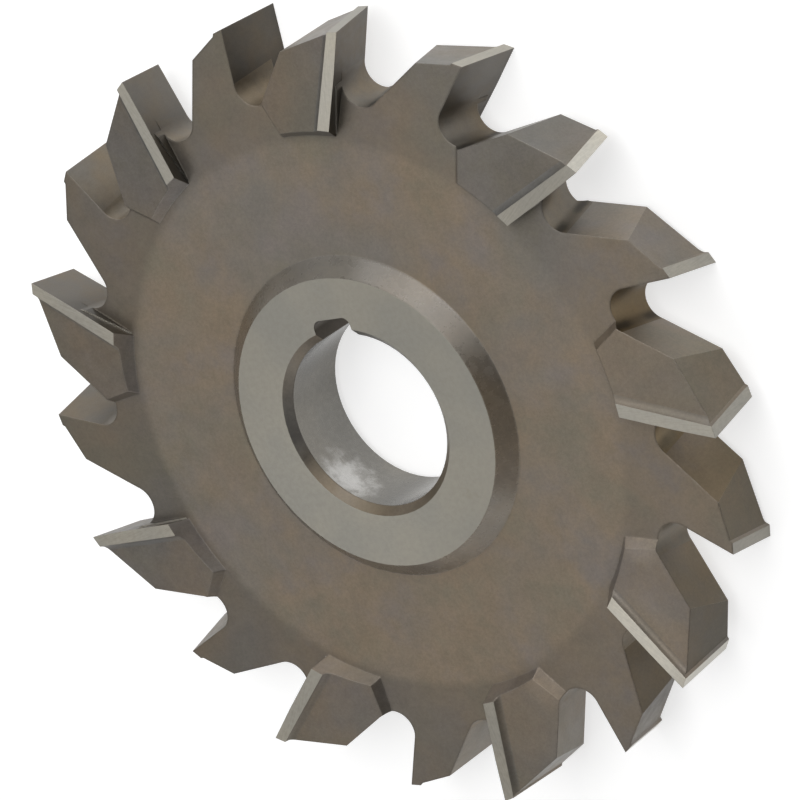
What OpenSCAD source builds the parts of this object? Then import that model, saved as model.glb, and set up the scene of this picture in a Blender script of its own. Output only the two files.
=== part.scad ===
// Side and face cutter with staggered teeth, cut from one solid disc of
// high speed steel. The cutter axis is Z, the origin is on the axis at half
// the width, and the keyway points to +Y. Every second tooth cuts on the +Z
// side and leans one way, the teeth between cut on the -Z side and lean the
// other way. Lengths are in millimetres, angles in degrees.

/* [Disc] */
// diameter over the tooth tips
cutter_d = 114.3; // [112:0.1:116]
// width over the side cutting edges
cutter_w = 12.7; // [12.5:0.1:13.5]
// width over the two ground hub faces
hub_w = 12.3; // [11.5:0.1:12.6]
// diameter of the flat ground hub face
hub_d = 42.4; // [38:0.1:46]
// diameter where the sloping hub wall meets the web
hub_foot_d = 47.3; // [46.5:0.1:54]
// thickness of the web between hub and teeth
web_t = 7.7; // [7.2:0.1:8.2]
// diameter of the turned line where the web begins to thin to the rim
web_d = 80; // [74:0.5:80.5]
// thickness of the relieved side at the rim, both sides relieved
rim_t = 7.2; // [6.8:0.1:7.6]

/* [Bore] */
// diameter of the ground bore
bore_d = 25.4; // [22:0.1:27]
// size of the 45 degree chamfer at each end of the bore
bore_chamfer = 1.1; // [0.5:0.1:1.5]
// width of the keyway
key_w = 6.35; // [5:0.05:7]
// distance from the axis to the keyway floor
key_floor = 15.3; // [14.6:0.1:16]
// radius in the two corners of the keyway floor
key_r = 1.2; // [0.4:0.1:1.4]
// turn of the nearest tooth tip from the keyway
key_turn = 3; // [0:0.5:20]

/* [Teeth] */
// number of teeth, half of them cutting on each side
teeth = 18; // [16:2:20]
// rake angle of the tooth face on the circumference
rake_deg = 9.5; // [8:0.5:10.5]
// lean of the tooth face to the axis, alternating
helix_deg = 10; // [7:0.5:12]
// radius at the root of the tooth space
root_r = 3; // [2.6:0.1:3.2]
// slope of the tooth back where it runs down to the root
back_deg = 64; // [60:1:67]
// distance from the tip back to the heel at half width
heel_back = 8.5; // [8:0.1:9]
// width of the ground land on the circumference
rim_land_w = 1.6; // [1.2:0.1:2]
// relief angle of the land on the circumference
rim_land_deg = 10; // [6:1:14]
// step behind the land on the circumference
rim_step = 0.4; // [0.2:0.05:0.5]
// relief angle of the tooth top behind the land
top_deg = 26; // [24:0.5:28]

/* [Side blocks] */
// radius of the inner end of the side cutting edge
side_in_r = 42.6; // [42:0.1:44]
// slope of the inner block wall, run of the wall for its full height
side_in_run = 1.7; // [1:0.1:1.7]
// width of the ground side land at the tip
side_land_w = 1.6; // [1.2:0.1:2]
// spread of the side land from the tip to its inner end
side_land_deg = 1.5; // [0.5:0.1:2.5]
// depth of the hollow step behind the side land
side_step = 0.7; // [0.4:0.05:0.9]
// radius of the hollow step behind the side land
side_step_r = 1.2; // [1:0.1:1.6]
// relief angle of the block face behind the side land
side_deg = 4.5; // [3:0.5:5.5]
// extra rake of the block front below the tooth space
front_deg = 1.5; // [1:0.5:3]
// narrow ledge low on the block front, where the finer cut stops
ledge_w = 0.22; // [0.1:0.02:0.3]
// rise of the ledge above the web at its outer end
ledge_rise = 1.3; // [0.8:0.1:1.6]
// lean of the block's rear wall from the radius
rear_deg = 35; // [31:1:39]
// distance of the rear wall's inner corner behind the tooth radius
rear_x = 10.6; // [10.2:0.1:11.2]
// run of the rear wall for each millimetre of its height
rear_run = 0.8; // [0.4:0.1:1]

/* [Hidden] */
tip_r = cutter_d / 2;
half_w = cutter_w / 2;
half_hub = hub_w / 2;
half_web = web_t / 2;
half_rim = rim_t / 2;
bore_r = bore_d / 2;
pitch = 360 / teeth;
over = 3;

// height of the tip line, so that its ends lie on the tip circle
tip_y = sqrt(tip_r * tip_r - pow(half_w * tan(helix_deg), 2));

// land, step and tooth top in the section at half width
land_y = tip_y - rim_land_w * tan(rim_land_deg);
step_x = -rim_land_w - rim_step * tan(30);
step_y = land_y - rim_step;
heel_y = step_y - (heel_back + step_x) * tan(top_deg);

// heel of the next tooth, turned into the frame of this tooth
hx = -heel_back * cos(pitch) + heel_y * sin(pitch);
hy = heel_back * sin(pitch) + heel_y * cos(pitch);
slope = back_deg - pitch;

// root arc between the tooth face and the back of the next tooth; it runs 0.01
// into both, so that each meets it at a clear edge
touch_r = root_r - 0.01;
ca = cos(rake_deg);
sa = -sin(rake_deg);
cb = -sin(slope);
sb = cos(slope);
ka = touch_r + sa * tip_y;
kb = touch_r + cb * hx + sb * hy;
det = ca * sb - sa * cb;
root_x = (ka * sb - sa * kb) / det;
root_y = (ca * kb - cb * ka) / det;

// side land edge at the +Z side
edge_x = half_w * tan(helix_deg);
side_phi = rake_deg + front_deg / 2 + side_land_deg;

// hollow step behind the side land: its arc starts on the land and runs out
// into the relieved block face
hollow_x = -sqrt(side_step_r * side_step_r - pow(side_step_r - side_step, 2));
hollow_z = half_w + side_step_r - side_step;
hollow_tx = hollow_x + (side_step_r - 0.005) * sin(side_deg);
hollow_tz = hollow_z - (side_step_r - 0.005) * cos(side_deg);

// tooth face and block front
function face_x(y) = (y - tip_y) * tan(rake_deg);
turn_y = 51;
function front_x(y) = face_x(turn_y) + (y - turn_y) * tan(rake_deg + front_deg);

// the ledge starts at the web and climbs outward along the block front
function ledge_z(y) = half_web + (y - side_in_r + 1.3) * ledge_rise / 6;

$fn = 180;

// hub, web and the relieved rim, turned about the axis
module disc() {
    rotate_extrude()
        polygon([
            [bore_r, -half_hub + bore_chamfer],
            [bore_r + bore_chamfer, -half_hub],
            [hub_d / 2, -half_hub],
            [hub_foot_d / 2, -half_web],
            [web_d / 2, -half_web],
            [tip_r + 0.6, -half_rim],
            [tip_r + 0.6, half_rim],
            [web_d / 2, half_web],
            [hub_foot_d / 2, half_web],
            [hub_d / 2, half_hub],
            [bore_r + bore_chamfer, half_hub],
            [bore_r, half_hub - bore_chamfer]
        ]);
}

// ring that carries the side blocks of the +Z side, with its sloping inner wall
module block_ring() {
    run = side_in_run / (half_w - half_web);
    rotate_extrude()
        polygon([
            [side_in_r - run * half_w, 0],
            [tip_r + 0.9, 0],
            [tip_r + 0.9, half_w],
            [side_in_r, half_w]
        ]);
}

// low part of the block front, which stands a little ahead of the rest
module front_ledge() {
    intersection() {
        block_ring();
        rotate([0, helix_deg, 0])
            translate([0, 0, -1])
                linear_extrude(half_w + 4)
                    polygon([
                        [front_x(36) + ledge_w, 36],
                        [front_x(49) + ledge_w, 49],
                        [front_x(49) - 2, 49],
                        [front_x(36) - 2, 36]
                    ]);
        translate([-20, 0, 0])
            rotate([90, 0, 90])
                linear_extrude(40)
                    polygon([[35, 0], [50, 0], [50, ledge_z(50)], [35, ledge_z(35)]]);
    }
}

// side block of one tooth, tip toward +Y, cutting on the +Z side
module block() {
    difference() {
        union() {
            intersection() {
                block_ring();
                rotate([0, helix_deg, 0])
                    translate([0, 0, -1])
                        linear_extrude(half_w + 4)
                            polygon([
                                [front_x(36), 36],
                                [front_x(53), 53],
                                [3, 53],
                                [3, tip_r + 2],
                                [-18, tip_r + 2],
                                [-18, 36]
                            ]);
            }
            front_ledge();
        }
        // hollow step and relieved face behind the side land
        translate([edge_x - side_land_w, tip_y, 0])
            rotate([0, 0, -side_phi])
                translate([0, 6, 0])
                    rotate([90, 0, 0])
                        linear_extrude(34) {
                            polygon([
                                [hollow_x, hollow_z],
                                [hollow_tx, hollow_tz],
                                [-20, hollow_tz - (20 + hollow_tx) * tan(side_deg)],
                                [-20, half_w + over],
                                [hollow_x, half_w + over]
                            ]);
                            translate([hollow_x, hollow_z])
                                circle(r = side_step_r, $fn = 64);
                        }
        // leaning rear wall
        translate([-rear_x, 40.2, 0])
            rotate([0, 0, 180 + rear_deg])
                translate([0, 14, 0])
                    rotate([90, 0, 0])
                        linear_extrude(28)
                            polygon([
                                [5.1 * rear_run, 0],
                                [(5.1 - half_w - over) * rear_run, half_w + over],
                                [16, half_w + over],
                                [16, 0]
                            ]);
    }
}

// tooth space in front of one tooth, round at the root
module space() {
    rotate([0, helix_deg, 0])
        linear_extrude(3 * cutter_w, center = true) {
            polygon([
                [root_x - touch_r * ca, root_y - touch_r * sa],
                [face_x(tip_r + over), tip_r + over],
                [hx + (tip_r + over - hy) / tan(slope), tip_r + over],
                [root_x - touch_r * cb, root_y - touch_r * sb],
                [root_x, root_y]
            ]);
            translate([root_x, root_y])
                circle(r = root_r, $fn = 96);
        }
}

// material taken off above the land and the tooth top
module top_relief() {
    rotate([0, helix_deg, 0])
        linear_extrude(3 * cutter_w, center = true)
            polygon([
                [1, tip_y + tan(rim_land_deg)],
                [-rim_land_w, land_y],
                [step_x, step_y],
                [-14.5, step_y - (14.5 + step_x) * tan(top_deg)],
                [-14.5, tip_r + over],
                [1, tip_r + over]
            ]);
}

// keyway with rounded floor corners
module keyway() {
    linear_extrude(2 * cutter_w, center = true) {
        translate([-key_w / 2, 0])
            square([key_w, key_floor - key_r]);
        translate([-key_w / 2 + key_r, 0])
            square([key_w - 2 * key_r, key_floor]);
        for (s = [-1, 1])
            translate([s * (key_w / 2 - key_r), key_floor - key_r])
                circle(r = key_r, $fn = 48);
    }
}

// one tooth position: even ones cut on the -Z side, odd ones on the +Z side
module at_tooth(i) {
    rotate([0, 0, key_turn + pitch * i])
        mirror([0, 0, i % 2 == 0 ? 1 : 0])
            children();
}

module cutter() {
    color([0.46, 0.42, 0.37])
        difference() {
            union() {
                disc();
                for (i = [0 : teeth - 1]) at_tooth(i) block();
            }
            for (i = [0 : teeth - 1]) at_tooth(i) space();
            for (i = [0 : teeth - 1]) at_tooth(i) top_relief();
            keyway();
        }
}

cutter();
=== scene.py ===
import math

import bpy
import numpy as np
from mathutils import Matrix, Vector

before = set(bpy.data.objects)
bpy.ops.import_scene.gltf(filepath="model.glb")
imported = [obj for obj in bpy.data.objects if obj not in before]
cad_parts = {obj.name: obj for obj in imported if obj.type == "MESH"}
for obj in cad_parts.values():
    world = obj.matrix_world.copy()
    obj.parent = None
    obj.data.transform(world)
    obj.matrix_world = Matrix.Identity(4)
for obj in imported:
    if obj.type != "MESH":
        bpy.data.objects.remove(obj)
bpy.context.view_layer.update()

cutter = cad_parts["cutter"]

# ---------------------------------------------------------------- sizes, mm
TIP_R = 57.15
HALF_W = 6.35
HELIX = math.radians(10)
RAKE = math.radians(9.5)
LAND = math.radians(10)
TOP = math.radians(26)
LAND_W = 1.6
RIM_STEP = 0.4
KEY_TURN = 3
TEETH = 18
TIP_Y = math.sqrt(TIP_R ** 2 - (HALF_W * math.tan(HELIX)) ** 2)
LAND_Y = TIP_Y - LAND_W * math.tan(LAND)
STEP_X = -LAND_W - RIM_STEP * math.tan(math.radians(30))
STEP_Y = LAND_Y - RIM_STEP
# root arc of a tooth space, in the section square to the leaning tooth face
ROOT_R = 3.0
PITCH = 2 * math.pi / TEETH
SLOPE = math.radians(64) - PITCH
HEEL_X, HEEL_Y = -8.5, STEP_Y - (8.5 + STEP_X) * math.tan(TOP)
NEXT_X = HEEL_X * math.cos(PITCH) + HEEL_Y * math.sin(PITCH)
NEXT_Y = -HEEL_X * math.sin(PITCH) + HEEL_Y * math.cos(PITCH)
FACE_N = (math.cos(RAKE), -math.sin(RAKE))
BACK_N = (-math.sin(SLOPE), math.cos(SLOPE))
ROOT_X, ROOT_Y = np.linalg.solve(
    np.array([FACE_N, BACK_N]),
    np.array([ROOT_R + FACE_N[1] * TIP_Y, ROOT_R + BACK_N[0] * NEXT_X + BACK_N[1] * NEXT_Y]))
LEDGE_W = 0.22
LEDGE_Y = 41.3
LEDGE_SLOPE = 1.3 / 6
FRONT = math.radians(11)
FRONT_Y = 51.0
FRONT_X = (FRONT_Y - TIP_Y) * math.tan(RAKE)


# ---------------------------------------------------------------- node helpers
class Tree:
    """Short calls for one material's nodes."""

    def __init__(self, name):
        self.mat = bpy.data.materials.new(name)
        self.mat.use_nodes = True
        self.t = self.mat.node_tree
        self.t.nodes.clear()
        self.out = self.add("ShaderNodeOutputMaterial")
        self.bsdf = self.add("ShaderNodeBsdfPrincipled")
        self.link(self.bsdf.outputs[0], self.out.inputs[0])
        co = self.add("ShaderNodeTexCoord")
        self.mm = self.vmath("SCALE", co.outputs["Object"], scale=1000.0)

    def add(self, kind, **props):
        n = self.t.nodes.new(kind)
        for k, v in props.items():
            setattr(n, k, v)
        return n

    def link(self, a, b):
        self.t.links.new(a, b)

    def put(self, socket, value):
        if isinstance(value, bpy.types.NodeSocket):
            self.link(value, socket)
        else:
            socket.default_value = value

    def math(self, op, a, b=0.0, c=0.0, clamp=False):
        n = self.add("ShaderNodeMath", operation=op, use_clamp=clamp)
        for s, v in zip(n.inputs, (a, b, c)):
            self.put(s, v)
        return n.outputs[0]

    def vmath(self, op, a, b=None, scale=None):
        n = self.add("ShaderNodeVectorMath", operation=op)
        self.put(n.inputs[0], a)
        if b is not None:
            self.put(n.inputs[1], b)
        if scale is not None:
            n.inputs["Scale"].default_value = scale
        return n.outputs["Value"] if op in ("LENGTH", "DOT_PRODUCT", "DISTANCE") else n.outputs[0]

    def noise(self, scale, detail=2.0, rough=0.5, vec=None, shift=(0, 0, 0), distortion=0.0):
        v = self.vmath("ADD", self.mm if vec is None else vec, shift)
        n = self.add("ShaderNodeTexNoise")
        self.link(v, n.inputs["Vector"])
        n.inputs["Scale"].default_value = scale
        n.inputs["Detail"].default_value = detail
        n.inputs["Roughness"].default_value = rough
        n.inputs["Distortion"].default_value = distortion
        return n.outputs[0]

    def span(self, v, lo, hi, a=0.0, b=1.0, smooth=True):
        n = self.add("ShaderNodeMapRange", interpolation_type="SMOOTHSTEP" if smooth else "LINEAR")
        n.clamp = True
        for s, x in zip(n.inputs, (v, lo, hi, a, b)):
            self.put(s, x)
        return n.outputs[0]

    def mix(self, f, a, b, blend="MIX"):
        n = self.add("ShaderNodeMix", data_type="RGBA", blend_type=blend)
        n.clamp_factor = True
        self.put(n.inputs[0], f)
        for s, v in ((n.inputs[6], a), (n.inputs[7], b)):
            self.put(s, v if isinstance(v, bpy.types.NodeSocket) else (*v, 1.0))
        return n.outputs[2]

    def times(self, colour, factor):
        """colour darkened or lightened by a number from nodes."""
        n = self.add("ShaderNodeVectorMath", operation="SCALE")
        self.link(colour, n.inputs[0])
        self.put(n.inputs["Scale"], factor)
        return n.outputs[0]

    def sep(self, v):
        n = self.add("ShaderNodeSeparateXYZ")
        self.link(v, n.inputs[0])
        return n.outputs[0], n.outputs[1], n.outputs[2]

    def comb(self, x, y, z):
        n = self.add("ShaderNodeCombineXYZ")
        for s, v in zip(n.inputs, (x, y, z)):
            self.put(s, v)
        return n.outputs[0]

    def radius(self):
        x, y, _ = self.sep(self.mm)
        return self.vmath("LENGTH", self.comb(x, y, 0.0))

    def bump(self, height, strength, distance_mm, normal=None):
        n = self.add("ShaderNodeBump")
        n.inputs["Strength"].default_value = strength
        n.inputs["Distance"].default_value = distance_mm / 1000
        self.link(height, n.inputs["Height"])
        if normal is not None:
            self.link(normal, n.inputs["Normal"])
        return n.outputs[0]

    def places(self, spots):
        """1 everywhere, more or less near the given places: (x, y, reach, change)."""
        x, y, _ = self.sep(self.mm)
        flat = self.comb(x, y, 0.0)
        total = 1.0
        for px, py, reach, change in spots:
            d = self.vmath("DISTANCE", flat, (px, py, 0.0))
            total = self.math("ADD", self.span(d, reach, 0.25 * reach, 0.0, change), total)
        return total

    def tooth_space(self):
        """Height in the frame of the tooth behind the space, and angle round the root arc in degrees."""
        x, y, z = self.sep(self.mm)
        a = self.math("SUBTRACT", self.math("ARCTAN2", self.math("MULTIPLY", x, -1.0), y), math.radians(KEY_TURN))
        i = self.math("FLOOR", self.math("DIVIDE", self.math("ADD", a, 0.6 * PITCH), PITCH))
        a = self.math("SUBTRACT", a, self.math("MULTIPLY", i, PITCH))
        side = self.math("MULTIPLY_ADD", self.math("FLOORED_MODULO", i, 2.0), 2.0, -1.0)
        r = self.radius()
        lx = self.math("MULTIPLY", self.math("MULTIPLY", r, self.math("SINE", a)), -math.cos(HELIX))
        lx = self.math("SUBTRACT", lx, self.math("MULTIPLY", self.math("MULTIPLY", z, side), math.sin(HELIX)))
        ly = self.math("MULTIPLY", r, self.math("COSINE", a))
        turn = self.math("ARCTAN2", self.math("SUBTRACT", float(ROOT_Y), ly), self.math("SUBTRACT", float(ROOT_X), lx))
        return ly, self.math("DEGREES", turn)

    def true_normal(self):
        return self.add("ShaderNodeNewGeometry").outputs["True Normal"]

    def soft_normal(self, radius_mm):
        n = self.add("ShaderNodeBevel", samples=4)
        n.inputs["Radius"].default_value = radius_mm / 1000
        return n.outputs[0]

    def edges(self, radius_mm, lo=0.02, hi=0.22):
        """1 along edges, 0 on open surface."""
        g = self.add("ShaderNodeNewGeometry")
        d = self.vmath("DOT_PRODUCT", self.soft_normal(radius_mm), g.outputs["Normal"])
        return self.span(self.math("SUBTRACT", 1.0, d), lo, hi)

    def hollow(self, distance_mm, samples=6):
        """1 in the open, lower in corners."""
        n = self.add("ShaderNodeAmbientOcclusion", samples=samples)
        n.inputs["Distance"].default_value = distance_mm / 1000
        return n.outputs["AO"]


# ---------------------------------------------------------------- materials
def oxide(name, tint=(1.0, 1.0, 1.0), rough=0.46, rings=0.0, blotch=1.0, rim=False, soft=0.25, metal=0.6, ior=1.5, spec=0.6, spots=()):
    """Steel with a matte brown-grey heat oxide, mottled in soft patches."""
    m = Tree(name)
    brown, grey, olive, violet = (0.205, 0.163, 0.116), (0.168, 0.153, 0.132), (0.176, 0.158, 0.118), (0.175, 0.153, 0.138)
    brown, grey, olive, violet = [tuple(c * t for c, t in zip(x, tint)) for x in (brown, grey, olive, violet)]
    big = m.noise(0.042, 3.0, 0.55, shift=(31, 7, 3), distortion=0.4)
    mid = m.noise(0.085, 4.0, 0.6, shift=(-11, 43, 17))
    fine = m.noise(0.55, 4.0, 0.6, shift=(5, 3, 29))
    grain = m.noise(7.0, 2.0, 0.5)
    c = m.mix(m.span(big, 0.36, 0.64), grey, brown)
    c = m.mix(m.math("MULTIPLY", m.span(mid, 0.46, 0.70), 0.8 * blotch), c, olive)
    c = m.mix(m.math("MULTIPLY", m.span(mid, 0.50, 0.28), 0.8 * blotch), c, violet)
    cloud = m.noise(0.24, 3.0, 0.6, shift=(14, 8, 22))
    patch = m.noise(0.075, 4.0, 0.6, shift=(-7, 26, 40), distortion=0.5)
    speck = m.noise(2.3, 2.0, 0.6, shift=(3, 17, 6))
    rust, slate = [tuple(x * t for x, t in zip(k, tint)) for k in ((0.222, 0.164, 0.104), (0.165, 0.157, 0.148))]
    c = m.mix(m.math("MULTIPLY", m.span(patch, 0.50, 0.72), 0.28 * blotch), c, rust)
    c = m.mix(m.math("MULTIPLY", m.span(patch, 0.48, 0.28), 0.25 * blotch), c, slate)
    tone = m.math("ADD", m.span(fine, 0.25, 0.75, 0.93, 1.07), m.span(grain, 0.2, 0.8, -0.07, 0.07))
    tone = m.math("ADD", tone, m.span(cloud, 0.3, 0.7, -0.04, 0.04))
    tone = m.math("ADD", tone, m.span(speck, 0.25, 0.75, -0.07, 0.07))
    c = m.times(c, tone)
    if spots:
        # listed places lighter or darker: partly the metal's own uneven tint, partly painted light and shade; darker
        # places also turn browner
        k = m.places(spots)
        c = m.times(m.mix(m.span(k, 1.0, 0.5, 0.0, 1.0, smooth=False), c, (1.10, 1.0, 0.78), "MULTIPLY"), k)
    if rim:
        # beyond the turned line the side is greyer and darker: partly its own tone, partly painted shade, and the
        # painted shade grows toward -X
        out = m.span(m.radius(), 39.2, 41.2)
        shade = m.span(m.sep(m.mm)[0], -42.0, 46.0, 0.765, 0.905, smooth=False)
        c = m.mix(out, c, m.times(m.mix(0.15, c, (0.165, 0.153, 0.135)), shade))
    wear = m.edges(0.22)
    patchy = m.span(m.noise(0.35, 3.0, 0.6, shift=(2, 9, 4)), 0.38, 0.66)
    wear = m.math("MULTIPLY", wear, m.math("MULTIPLY_ADD", patchy, 0.5, 0.15))
    open_ = m.hollow(2.5)
    wear = m.math("MULTIPLY", wear, m.span(open_, 0.55, 0.85))
    c = m.mix(wear, c, (0.36, 0.335, 0.295))
    # painted shade: darker in corners and crevices, by the occlusion
    c = m.times(c, m.span(open_, 0.05, 0.65, 0.62, 1.0))
    m.link(c, m.bsdf.inputs["Base Color"])
    m.bsdf.inputs["Metallic"].default_value = metal
    m.bsdf.inputs["Specular IOR Level"].default_value = spec
    m.bsdf.inputs["IOR"].default_value = ior
    r = m.math("ADD", m.span(fine, 0.25, 0.75, rough - 0.05, rough + 0.06), m.span(mid, 0.3, 0.7, -0.03, 0.03))
    m.link(r, m.bsdf.inputs["Roughness"])
    h = m.math("ADD", m.math("MULTIPLY", grain, 0.5), m.math("MULTIPLY", fine, 0.6))
    if rings:
        lathe = m.noise(1.0, 3.0, 0.65, vec=m.comb(m.math("MULTIPLY", m.radius(), 5.0), 0.0, 0.0))
        h = m.math("ADD", h, m.math("MULTIPLY", lathe, rings))
    m.link(m.bump(h, 0.35, 0.02, m.soft_normal(soft)), m.bsdf.inputs["Normal"])
    return m.mat


def milled(name, level=1.0, warm=0.5, streaks=0.02, place="", spots=()):
    """Oxide-dark milled tooth face and tooth space, with faint cutter marks."""
    m = Tree(name)
    big = m.noise(0.11, 3.0, 0.55, shift=(3, 61, 5))
    fine = m.noise(0.8, 4.0, 0.6, shift=(15, 2, 8))
    grain = m.noise(6.0, 2.0, 0.5)
    cool, brown = (0.165, 0.150, 0.128), (0.190, 0.152, 0.104)
    cool, brown = [tuple(x * level for x in c) for c in (cool, brown)]
    c = m.mix(m.span(big, 0.62 - 0.5 * warm, 0.98 - 0.5 * warm), cool, brown)
    marks = m.noise(1.0, 3.0, 0.6, vec=m.comb(m.math("MULTIPLY", m.radius(), 6.0), 0.0, m.math("MULTIPLY", m.sep(m.mm)[2], 0.25)))
    tone = m.math("ADD", m.span(fine, 0.25, 0.75, 0.90, 1.10), m.span(marks, 0.25, 0.75, -streaks, streaks))
    tone = m.math("ADD", tone, m.span(grain, 0.2, 0.8, -0.07, 0.07))
    c = m.times(c, tone)
    if spots:
        # listed places lighter or darker: partly the metal's own uneven tint, partly painted light and shade
        c = m.times(c, m.places(spots))
    up, turn = m.tooth_space()
    if place in ("rake", "front"):
        # painted shade: the tooth face gets darker toward the root, down in the tooth space
        c = m.times(c, m.span(up, 46.5, 53.5, 0.70, 1.08))
    if place == "root":
        # painted shade in the crease where the root meets the back of the next tooth, strongest near the two sides of
        # the disc and toward +Y
        z = m.math("ABSOLUTE", m.sep(m.mm)[2])
        z = m.math("ADD", z, m.span(fine, 0.2, 0.8, -0.5, 0.5, smooth=False))
        much = m.math("MULTIPLY", m.span(z, 0.6, 2.6, 0.5, 1.0), m.span(m.sep(m.mm)[1], -22.0, 8.0, 0.3, 1.0))
        turn = m.math("ADD", turn, m.span(fine, 0.2, 0.8, -4.0, 4.0, smooth=False))
        dip = m.math("MULTIPLY", m.span(turn, 94.0, 114.0), m.span(turn, 136.0, 120.0, 0.35, 1.0))
        c = m.times(c, m.math("MULTIPLY_ADD", m.math("MULTIPLY", dip, much), -0.70, 1.0))
        # painted shade: the root arc is also darker toward its end at the tooth face
        c = m.times(c, m.span(turn, -10.0, 55.0, 0.58, 1.0))
        # the oil stain in the tooth spaces is browner on the +X side
        c = m.mix(m.span(m.sep(m.mm)[0], 37.0, 46.0, 0.0, 0.9), c, (1.04, 0.92, 0.68), "MULTIPLY")
    open_ = m.hollow(2.5)
    # painted shade: darker in corners and down in the tooth space, by the occlusion
    c = m.times(c, m.span(open_, 0.25, 0.75, 0.55, 1.0))
    wear = m.math("MULTIPLY", m.edges(0.2), m.span(open_, 0.5, 0.8, 0.0, 0.3))
    c = m.mix(wear, c, (0.36, 0.335, 0.295))
    m.link(c, m.bsdf.inputs["Base Color"])
    m.bsdf.inputs["Metallic"].default_value = 0.6
    m.bsdf.inputs["Specular IOR Level"].default_value = 0.4 if place == "root" else 0.6
    m.link(m.span(fine, 0.25, 0.75, 0.40, 0.52), m.bsdf.inputs["Roughness"])
    h = m.math("ADD", m.math("MULTIPLY", marks, 0.35), m.math("MULTIPLY", fine, 0.3))
    m.link(m.bump(h, 0.14, 0.02, m.soft_normal(0.2) if place == "root" else m.true_normal()), m.bsdf.inputs["Normal"])
    return m.mat


def ground(name, base, rough, scratch_vec, metallic=1.0, spread=0.05, depth=0.25, soft=0.08, painted_glare=False, spots=()):
    """Ground bare steel with fine wheel marks."""
    m = Tree(name)
    big = m.noise(0.09, 2.0, 0.5, shift=(9, 13, 1))
    fine = m.noise(1.3, 4.0, 0.65, shift=(1, 2, 3))
    marks = m.noise(1.0, 3.0, 0.7, vec=scratch_vec(m))
    c = m.mix(m.span(big, 0.35, 0.65), tuple(x * 0.96 for x in base), tuple(x * y for x, y in zip(base, (1.05, 1.03, 1.0))))
    tone = m.math("ADD", m.span(marks, 0.25, 0.75, 1 - spread, 1 + spread), m.span(fine, 0.3, 0.7, -0.06, 0.06))
    c = m.times(c, tone)
    stain = m.span(m.noise(0.28, 4.0, 0.6, shift=(21, 33, 2)), 0.62, 0.78, 0.0, 0.35)
    c = m.mix(stain, c, tuple(x * y for x, y in zip(base, (0.82, 0.78, 0.70))))
    r = m.math("ADD", m.span(marks, 0.25, 0.75, rough - 0.06, rough + 0.06), m.span(fine, 0.3, 0.7, -0.03, 0.03))
    if spots:
        # listed places lighter or darker: partly the metal's own uneven tint, partly painted light and shade
        c = m.times(c, m.places(spots))
    if painted_glare:
        # painted reflection: a blotchy bright patch on the bore wall toward -X -Y
        x, y, z = m.sep(m.mm)
        spot = m.vmath("DISTANCE", m.mm, (-9.2, -8.7, 2.9))
        spot = m.span(m.math("ADD", spot, m.span(m.noise(0.55, 4.0, 0.65, shift=(4, 1, 7)), 0.3, 0.7, -1.2, 1.2)), 5.6, 0.0)
        c = m.mix(m.math("MULTIPLY", spot, 0.85), c, tuple(min(1.0, v * y) for v, y in zip(base, (2.6, 2.65, 2.8))))
        # painted light and shade: the bore wall is lighter toward -Y and darker toward +Y
        side = m.span(m.math("SUBTRACT", m.math("MULTIPLY", x, 0.35), y), -4.0, 10.0, 0.94, 1.14)
        c = m.times(c, side)
    m.link(c, m.bsdf.inputs["Base Color"])
    m.bsdf.inputs["Metallic"].default_value = metallic
    m.link(r, m.bsdf.inputs["Roughness"])
    m.link(m.bump(marks, depth, 0.008, m.soft_normal(soft)), m.bsdf.inputs["Normal"])
    return m.mat


def around(m):
    """Marks that run round the axis."""
    return m.comb(m.math("MULTIPLY", m.radius(), 7.0), m.math("MULTIPLY", m.sep(m.mm)[2], 7.0), 0.0)


def across(m):
    """Marks that run along the radius and the rim edge."""
    x, y, z = m.sep(m.mm)
    turn = m.math("MULTIPLY", m.math("ARCTAN2", y, x), 260.0)
    return m.comb(turn, m.math("MULTIPLY", m.radius(), 0.35), m.math("MULTIPLY", z, 0.35))


# tone changes at listed places round the cutter: partly the uneven heat tint and grinding, partly painted light and
# shade, such as the highlight on the hub wall and the light on the inner walls
TOOTH_TINT_AND_SHADE = [(51, -20, 15, -0.46), (41, -36, 15, -0.57), (29, -43, 12, -0.58), (55, -2, 9, -0.20), (18, -52, 16, -0.28), (0, -52, 14, -0.32)]
SHADY = [(-3, 53, 12, -0.36), (0, 46, 7, -0.30), (28, 37, 9, -0.24), (15, 52, 8, -0.16), (-37, 39, 9, 0.28)]
ROOTS = [(-4, 48, 7, -0.10), (28, 37, 9, -0.24), (45, 9, 7, -0.25)]
BLOCKS = [(35, -34, 8, 0.18), (38, -22, 4, 0.28), (14, -41, 4, 0.20), (40, 29, 8, -0.12)]
BORE = [(-8, 10, 6, -0.24), (-11.5, 5.5, 6, -0.14), (0, -12.7, 6.5, -0.28)]
CHAMFER = [(-4.5, 12.5, 6, 0.35), (-11.5, 6.6, 7, 0.40), (-4.5, -12.5, 6, -0.22), (-11.5, -6.6, 6, -0.26)]
CONE = [(8, 21, 8, -0.14), (8, -21, 8, 0.45), (19, -11, 9, 0.40)]
INNER_PAINTED_LIGHT = [(-22, 35, 16, 0.75), (-39, 13, 14, 0.50), (-20, -36, 14, -0.22)]
HUB = [(-12, -14, 30, 0.13), (14, 14, 20, -0.05)]
RIM_LANDS = [(47, 32, 9, 0.40), (39, -41, 9, 0.25), (51, -25, 9, -0.38), (57, -6, 9, -0.25), (55, 13, 9, -0.22), (16, 55, 9, -0.22)]
SIDE_LANDS = [(35, -35, 14, 0.62), (13, 48, 14, 0.22), (41, 28, 14, -0.22), (4, -49, 14, -0.16)]
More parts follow.
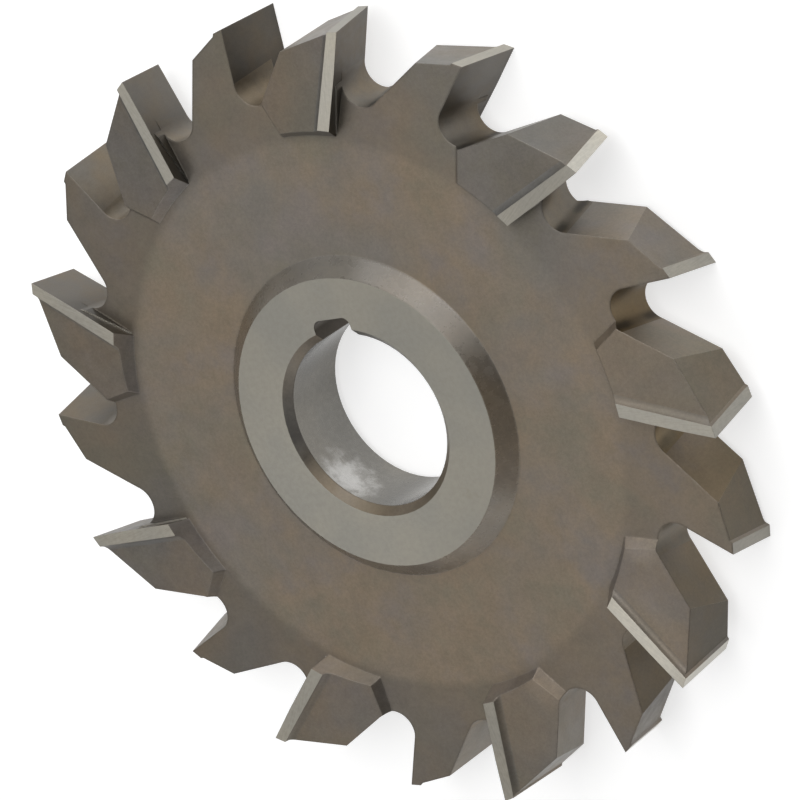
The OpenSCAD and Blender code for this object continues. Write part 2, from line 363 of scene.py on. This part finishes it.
# the copies of the oxide and milled steel for the kinds of face differ in tint and level partly by their own tone and
# partly as painted light and shade for how each kind of face is lit
MATS = {
    "web": oxide("steel_oxide_turned", tint=(1.15, 1.14, 1.13), rings=0.9, rim=True, soft=0.45),
    "tooth": oxide("steel_oxide_tooth", tint=(0.95, 0.95, 0.965), rough=0.44, blotch=0.8, spots=BLOCKS),
    "step": oxide("steel_oxide_step", tint=(0.93, 0.98, 1.06), rough=0.46, blotch=0.6),
    "inner": oxide("steel_oxide_inner", tint=(0.98, 1.02, 1.13), rough=0.44, blotch=0.6, spots=INNER_PAINTED_LIGHT),
    "top": oxide("steel_oxide_tooth_top", tint=(0.89, 0.92, 0.965), rough=0.42, blotch=0.8, spots=TOOTH_TINT_AND_SHADE),
    "back": oxide("steel_oxide_tooth_back", tint=(1.21, 1.24, 1.29), rough=0.42, blotch=0.8, spots=TOOTH_TINT_AND_SHADE),
    "rake": milled("steel_oxide_rake", 0.76, place="rake", spots=SHADY),
    "root": milled("steel_oxide_root", 1.25, 0.6, place="root", spots=ROOTS),
    "front": milled("steel_oxide_front", 0.82, 0.5, 0.05, place="front", spots=SHADY),
    "ledge": ground("steel_ground_ledge", (0.40, 0.38, 0.34), 0.38, across, spread=0.08),
    "hub": ground("steel_ground_hub", (0.332, 0.319, 0.281), 0.42, around, spots=HUB),
    "bore": ground("steel_ground_bore", (0.204, 0.197, 0.181), 0.24, around, spread=0.025, depth=0.05, painted_glare=True, spots=BORE),
    "cone": oxide("steel_oxide_hub_wall", tint=(0.77, 0.76, 0.74), rough=0.27, rings=0.4, blotch=0.5, soft=0.5, metal=0.25, ior=1.9, spec=0.5, spots=CONE),
    "chamfer": oxide("steel_oxide_chamfer", tint=(0.84, 0.86, 0.88), rough=0.38, rings=0.4, blotch=0.4, metal=0.5, spots=CHAMFER),
    "keyway": oxide("steel_oxide_keyway", tint=(0.42, 0.42, 0.42), rough=0.42, blotch=0.4, metal=0.5),
    "land": ground("steel_ground_land", (0.368, 0.354, 0.314), 0.36, across, spread=0.10, spots=RIM_LANDS),
    "side": ground("steel_ground_side", (0.385, 0.365, 0.318), 0.36, across, spread=0.10, spots=SIDE_LANDS),
}
ORDER = list(MATS)


# ---------------------------------------------------------------- which face is which
def lean(x, y, z):
    c, s = math.cos(HELIX), math.sin(HELIX)
    return np.array([c * x + s * z, y, -s * x + c * z])


def sort_faces(centre, normal):
    """Index into ORDER for faces with these middles, in millimetres, and normals."""
    kind = np.full(len(centre), ORDER.index("tooth"))

    def put(mask, name):
        kind[mask] = ORDER.index(name)

    r = np.hypot(centre[:, 0], centre[:, 1])
    az, nz = np.abs(centre[:, 2]), np.abs(normal[:, 2])
    nr = (normal[:, :2] * centre[:, :2]).sum(1) / np.maximum(r, 1e-9)
    put((nz > 0.99) & (az < 4.2), "web")
    put((r > 20.5) & (r < 24.5) & (nz < 0.97) & (nr > 0.3), "cone")
    put((r < 21.3) & (nz > 0.99) & (az > 6.1), "hub")
    put((r < 17.0) & (nz < 0.97), "chamfer")
    put((r < 17.0) & (nz < 0.3), "keyway")
    put((r < 13.2) & (nr < -0.95), "bore")
    put((r > 40.3) & (r < 43.2) & (nr < -0.5) & (nz > 0.3), "inner")
    along = lean(1, 0, 0)
    for last in (False, True):
        for i in range(TEETH):
            a = math.radians(KEY_TURN + 360 / TEETH * i)
            c, s = math.cos(a), math.sin(a)
            p = np.stack([centre[:, 0] * c + centre[:, 1] * s, centre[:, 1] * c - centre[:, 0] * s, centre[:, 2]], 1)
            n = np.stack([normal[:, 0] * c + normal[:, 1] * s, normal[:, 1] * c - normal[:, 0] * s, normal[:, 2]], 1)
            if i % 2 == 0:
                p[:, 2] *= -1
                n[:, 2] *= -1
            near = (r > 38) & (p[:, 1] > 30) & (np.abs(p[:, 0]) < 16)

            def on(nx, ny, x, y, tol=0.08, share=0.995):
                v = lean(nx, ny, 0)
                return near & (np.abs((p - lean(x, y, 0)) @ v) < tol) & (n @ v > share)

            if last:
                put(on(-math.sin(LAND), math.cos(LAND), 0, TIP_Y) & (r > 55), "land")
                put(near & (np.abs(p[:, 2] - HALF_W) < 0.03) & (n[:, 2] > 0.999), "side")
                continue
            put(on(math.sin(-TOP), math.cos(TOP), STEP_X, STEP_Y), "top")
            put(near & (p[:, 2] > 5.3) & (p[:, 2] < 6.34) & (n[:, 2] > 0.3) & (n[:, 2] < 0.985) & (np.abs(p[:, 0]) < 12) & (nr > -0.5)
                & (n[:, 0] * math.cos(RAKE) - n[:, 1] * math.sin(RAKE) < -0.08), "step")
            put(on(*BACK_N, NEXT_X, NEXT_Y), "back")
            put(on(*FACE_N, 0, TIP_Y) & (p[:, 1] > 44), "rake")
            put(on(math.cos(FRONT), -math.sin(FRONT), FRONT_X, FRONT_Y, share=0.9999) & (r < 48.8), "front")
            put(on(math.cos(FRONT), -math.sin(FRONT), FRONT_X + LEDGE_W, FRONT_Y, share=0.9999) & (r < 52), "front")
            v = np.array([0.0, -LEDGE_SLOPE, 1.0]) / math.hypot(1.0, LEDGE_SLOPE)
            put(near & (n @ v > 0.999) & (np.abs((p - np.array([0.0, LEDGE_Y, 3.85])) @ v) < 0.05) & (r > 40.5) & (r < 50), "ledge")
            dx, dy = p @ along - ROOT_X, p[:, 1] - ROOT_Y
            arc = near & (np.abs(np.hypot(dx, dy) - ROOT_R) < 0.06) & (-(n @ along) * dx - n[:, 1] * dy > 2.7)
            put(arc, "root")
            put(arc & (az > 3.7) & (n @ along > 0.9), "rake")
    return kind


mesh = cutter.data
count = len(mesh.polygons)
centre, normal = np.zeros(count * 3), np.zeros(count * 3)
mesh.polygons.foreach_get("center", centre)
mesh.polygons.foreach_get("normal", normal)
kinds = sort_faces(centre.reshape(-1, 3) * 1000, normal.reshape(-1, 3))
mesh.materials.clear()
for k in ORDER:
    mesh.materials.append(MATS[k])
mesh.polygons.foreach_set("material_index", kinds.astype(np.int32))
mesh.update()

# ---------------------------------------------------------------- floor
bpy.ops.mesh.primitive_plane_add(size=6.0, location=(0, 0, -HALF_W / 1000))
floor = bpy.context.object
floor.name = "floor"
fm = Tree("floor_pale")
tone = fm.span(fm.noise(0.02, 3.0, 0.5), 0.3, 0.7, 0.985, 1.0)
fm.link(fm.times(fm.mix(0.0, (0.5, 0.5, 0.498), (0.5, 0.5, 0.498)), tone), fm.bsdf.inputs["Base Color"])
fm.bsdf.inputs["Roughness"].default_value = 0.8
fm.bsdf.inputs["Specular IOR Level"].default_value = 0.2
fm.bsdf.inputs["Emission Color"].default_value = (1, 1, 1, 1)
fm.bsdf.inputs["Emission Strength"].default_value = 0.68
floor.data.materials.append(fm.mat)

# ---------------------------------------------------------------- light
world = bpy.data.worlds.new("studio")
bpy.context.scene.world = world
world.use_nodes = True
world.node_tree.nodes["Background"].inputs[0].default_value = (1, 1, 1, 1)
world.node_tree.nodes["Background"].inputs[1].default_value = 0.0


def softbox(name, azimuth, elevation, watts, size=0.9, distance=1.2):
    """Soft light aimed at the cutter; azimuth from +X toward +Y."""
    a, e = math.radians(azimuth), math.radians(elevation)
    at = Vector((math.cos(a) * math.cos(e), math.sin(a) * math.cos(e), math.sin(e))) * distance
    data = bpy.data.lights.new(name, "AREA")
    data.shape = "DISK"
    data.size = size
    data.energy = watts
    o = bpy.data.objects.new(name, data)
    bpy.context.scene.collection.objects.link(o)
    o.location = at
    o.rotation_mode = "QUATERNION"
    o.rotation_quaternion = at.to_track_quat("Z", "Y")
    return o


# soft boxes all round, brightest from +Y and from above, weak from -X and the +X -Y side
for height, elevation, boxes in (
        ("low", 7, {90: 2.6, 135: 0.6, 225: 1.4, 270: 1.6}),
        ("mid", 33, {45: 1.9, 90: 3.4, 135: 1.05, 180: 0.5, 225: 0.65, 270: 1.0, 315: 0.4}),
        ("top", 62, {68: 6.4, 180: 1.9, 225: 0.8})):
    for azimuth, watts in boxes.items():
        softbox(f"{height}_{azimuth}", azimuth, elevation, watts)

# ---------------------------------------------------------------- camera
view = bpy.data.cameras.new("camera")
view.lens = 242.787
view.sensor_width = 36.0
view.clip_start, view.clip_end = 0.05, 50.0
camera = bpy.data.objects.new("camera", view)
bpy.context.scene.collection.objects.link(camera)
right = Vector((0.76621, -0.31559, -0.55975))
up = Vector((0.10039, 0.91918, -0.38082))
back = Vector((0.63470, 0.23560, 0.73597))
pose = Matrix((right, up, back)).transposed().to_4x4()
pose.translation = (0.47073, 0.17467, 0.54352)
camera.matrix_world = pose
bpy.context.scene.camera = camera
bpy.context.scene.view_settings.view_transform = "Standard"
